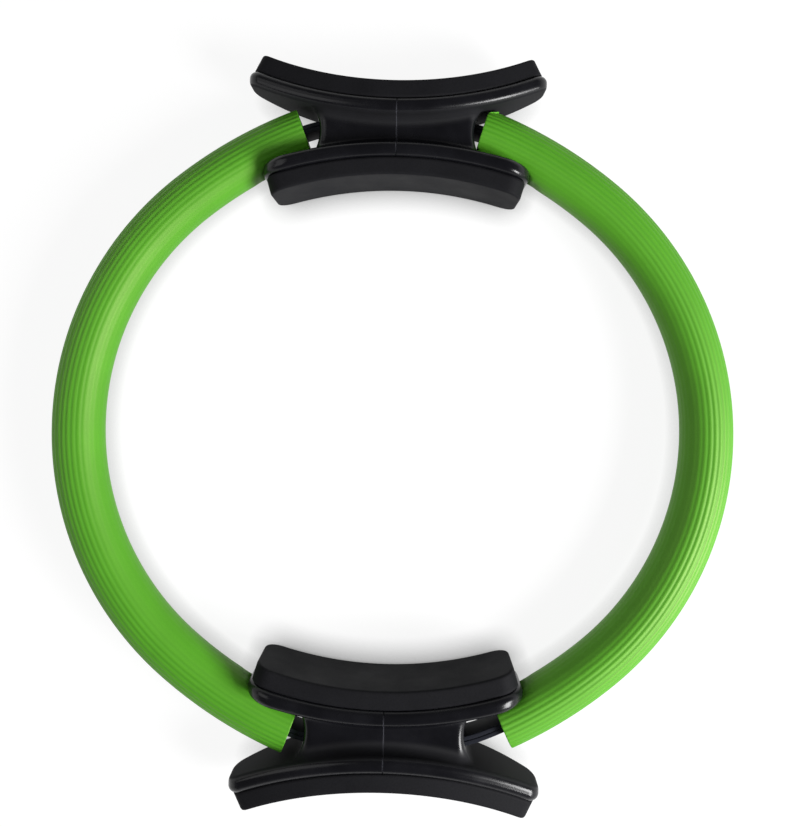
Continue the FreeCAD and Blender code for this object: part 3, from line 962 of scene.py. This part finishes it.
class RING_OT_stage(RingTool, bpy.types.Operator):
    """Set the floor, the backdrop, the light and the camera"""

    bl_idname = "pilates_ring.stage"
    bl_label = "Stage"

    def execute(self, context):
        scene = context.scene
        settings = scene.ring_stage
        scene.view_settings.view_transform = "Standard"
        self.floor(settings)
        self.sky(scene, settings)
        self.lamp("key_light", settings.key_place, settings.key_size, settings.key_power)
        self.lamp("fill_light", settings.fill_place, settings.fill_size, settings.fill_power)
        self.camera(scene, settings)
        return {"FINISHED"}

    @staticmethod
    def floor(settings):
        """A flat sheet under the ring and a wall round it, white in the light and grey in the shade,
        with a painted shadow where its glow dims near the ring.
        """
        corner = np.array([[-1, -1, 0], [1, -1, 0], [1, 1, 0], [-1, 1, 0]]) * settings.floor_reach
        mesh = bpy.data.meshes.new("floor")
        mesh.from_pydata((corner + np.array([0, 0, cad_low.z])).tolist(), [], [(0, 1, 2, 3)])
        sheet = bpy.data.objects.new("floor", mesh)
        bpy.context.scene.collection.objects.link(sheet)
        material, tree, shader = new_finish("floor_white")
        rays = tree.nodes.new("ShaderNodeLightPath")
        mirrored = math_node(tree, "MAXIMUM", rays.outputs["Is Glossy Ray"],
                             rays.outputs["Is Transmission Ray"])
        seen = math_node(tree, "MAXIMUM", rays.outputs["Is Camera Ray"], mirrored)
        glow = spread(tree, seen, low=0.0, high=settings.floor_glow)
        # Painted shadow: ambient occlusion dims the floor's glow near the ring, seen directly and in
        # reflections.
        painted_floor_shadow = node(tree, "ShaderNodeAmbientOcclusion", Distance=settings.shade_reach)
        painted_floor_shadow.samples = 8
        plug_all(
            tree, shader, Base_Color=opaque(tuple(settings.floor_colour)), Roughness=0.9,
            Specular_IOR_Level=0.0, Emission_Color=WHITE,
            Emission_Strength=math_node(tree, "MULTIPLY", glow, painted_floor_shadow.outputs["AO"]),
        )
        paint(sheet, material)
        bowl = RING_OT_stage.backdrop(settings)
        paint(bowl, material)

    @staticmethod
    def backdrop(settings):
        """A wall round the floor, joined to it by a quarter round.

        Across, the round is r = d + b sin a and z = b (1 - cos a), with d the floor's radius and b the
        bend's. The last row is the wall's top.
        """
        columns, bend_rows = 96, 13
        turn = np.linspace(0, 2 * math.pi, columns, endpoint=False)
        bend = np.linspace(0, math.pi / 2, bend_rows)
        out = np.append(settings.floor_radius + settings.backdrop_bend * np.sin(bend),
                        settings.floor_radius + settings.backdrop_bend)
        up = np.append(settings.backdrop_bend * (1 - np.cos(bend)), settings.backdrop_height)
        points = np.stack([
            out[:, None] * np.cos(turn), out[:, None] * np.sin(turn),
            cad_low.z + up[:, None] * np.ones_like(turn),
        ], axis=-1)
        return grid_object("backdrop", points, False, True)

    @staticmethod
    def sky(scene, settings):
        """Even light, brighter low down than overhead."""
        world = bpy.data.worlds.new("studio")
        world.use_nodes = True
        tree = world.node_tree
        where = tree.nodes.new("ShaderNodeTexCoord")
        split = node(tree, "ShaderNodeSeparateXYZ", Vector=where.outputs["Generated"])
        level = spread(tree, split.outputs["Z"], low=1.0, high=0.25, from_low=0.15, from_high=0.75)
        strength = math_node(tree, "MULTIPLY", level, settings.sky_strength)
        plug_all(tree, tree.nodes["Background"], Color=WHITE, Strength=strength)
        scene.world = world

    @staticmethod
    def lamp(name, at, size, power):
        """A square soft light that faces the ring's middle."""
        data = bpy.data.lights.new(name, "AREA")
        data.size = size
        data.energy = power
        lamp = bpy.data.objects.new(name, data)
        bpy.context.scene.collection.objects.link(lamp)
        target = Vector((0, 0, MIDDLE_HEIGHT))
        lamp.location = at
        lamp.rotation_mode = "QUATERNION"
        lamp.rotation_quaternion = (target - Vector(at)).to_track_quat("-Z", "Y")

    @staticmethod
    def camera(scene, settings):
        """Camera looking down on the ring, with its axes turned by tilt, then yaw, then roll."""
        data = bpy.data.cameras.new("camera")
        data.sensor_width = SENSOR
        data.sensor_fit = "AUTO"
        data.lens = settings.focal_pixels * SENSOR / PICTURE_HEIGHT
        data.shift_y = (settings.axis_row - PICTURE_HEIGHT / 2) / PICTURE_HEIGHT
        data.clip_start = NEAREST
        data.clip_end = FURTHEST
        tilt, yaw, roll = settings.camera_tilt, settings.camera_yaw, settings.camera_roll
        right = Vector((1, 0, 0))
        up = Vector((0, math.cos(tilt), -math.sin(tilt)))
        ahead = Vector((0, -math.sin(tilt), -math.cos(tilt)))
        right, ahead = (math.cos(yaw) * right + math.sin(yaw) * ahead,
                        math.cos(yaw) * ahead - math.sin(yaw) * right)
        right, up = (math.cos(roll) * right + math.sin(roll) * up,
                     math.cos(roll) * up - math.sin(roll) * right)
        turn = Matrix((right, up, -ahead)).transposed().to_4x4()
        camera = bpy.data.objects.new("camera", data)
        scene.collection.objects.link(camera)
        camera.matrix_world = Matrix.Translation(Vector(settings.camera_place)) @ turn
        scene.camera = camera


class RING_PT_panel(bpy.types.Panel):
    """Buttons for the ring's pieces"""

    bl_idname = "RING_PT_panel"
    bl_label = "Pilates Ring"
    bl_space_type = "VIEW_3D"
    bl_region_type = "UI"
    bl_category = "Pilates Ring"

    def draw(self, context):
        for operator in OPERATORS:
            self.layout.operator(operator.bl_idname)


OPERATORS = (
    RING_OT_foam_sleeves,
    RING_OT_spring_strips,
    RING_OT_pads,
    RING_OT_grips,
    RING_OT_fastenings,
    RING_OT_stage,
)
GROUPS = {
    "ring_path": RingPathSizes,
    "ring_sleeves": SleeveSizes,
    "ring_strips": StripSizes,
    "ring_outer_flange": FlangeSizes,
    "ring_inner_flange": FlangeSizes,
    "ring_pads": PadSizes,
    "ring_grips": GripSizes,
    "ring_finishes": Finishes,
    "ring_stage": StageSettings,
}


def register():
    """Make the sizes, operators and panel known, and put the sizes on the scene."""
    for group in dict.fromkeys(GROUPS.values()):
        bpy.utils.register_class(group)
    for name, group in GROUPS.items():
        setattr(bpy.types.Scene, name, bpy.props.PointerProperty(type=group))
    for tool in OPERATORS:
        bpy.utils.register_class(tool)
    bpy.utils.register_class(RING_PT_panel)


def unregister():
    """Take away what register made known."""
    bpy.utils.unregister_class(RING_PT_panel)
    for tool in reversed(OPERATORS):
        bpy.utils.unregister_class(tool)
    for name in GROUPS:
        delattr(bpy.types.Scene, name)
    for group in reversed(list(dict.fromkeys(GROUPS.values()))):
        bpy.utils.unregister_class(group)


def set_inner_flange(flange):
    """The inner flange is shorter and less curved than the outer one."""
    flange.seat = RING_HALF_DEPTH - 21.3 * MM
    flange.seat_radius = 204.5 * MM
    flange.flange_length = 139.0 * MM
    flange.pad_thickness = 8.8 * MM
    flange.pad_corner = 9.0 * MM
    flange.side_bow = 0.0
    flange.end_lean = math.radians(16.0)


def main():
    """Register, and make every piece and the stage."""
    register()
    set_inner_flange(bpy.context.scene.ring_inner_flange)
    bpy.ops.pilates_ring.foam_sleeves()
    bpy.ops.pilates_ring.spring_strips()
    bpy.ops.pilates_ring.pads()
    bpy.ops.pilates_ring.grips()
    bpy.ops.pilates_ring.fastenings()
    bpy.ops.pilates_ring.stage()


if __name__ == "__main__":
    main()
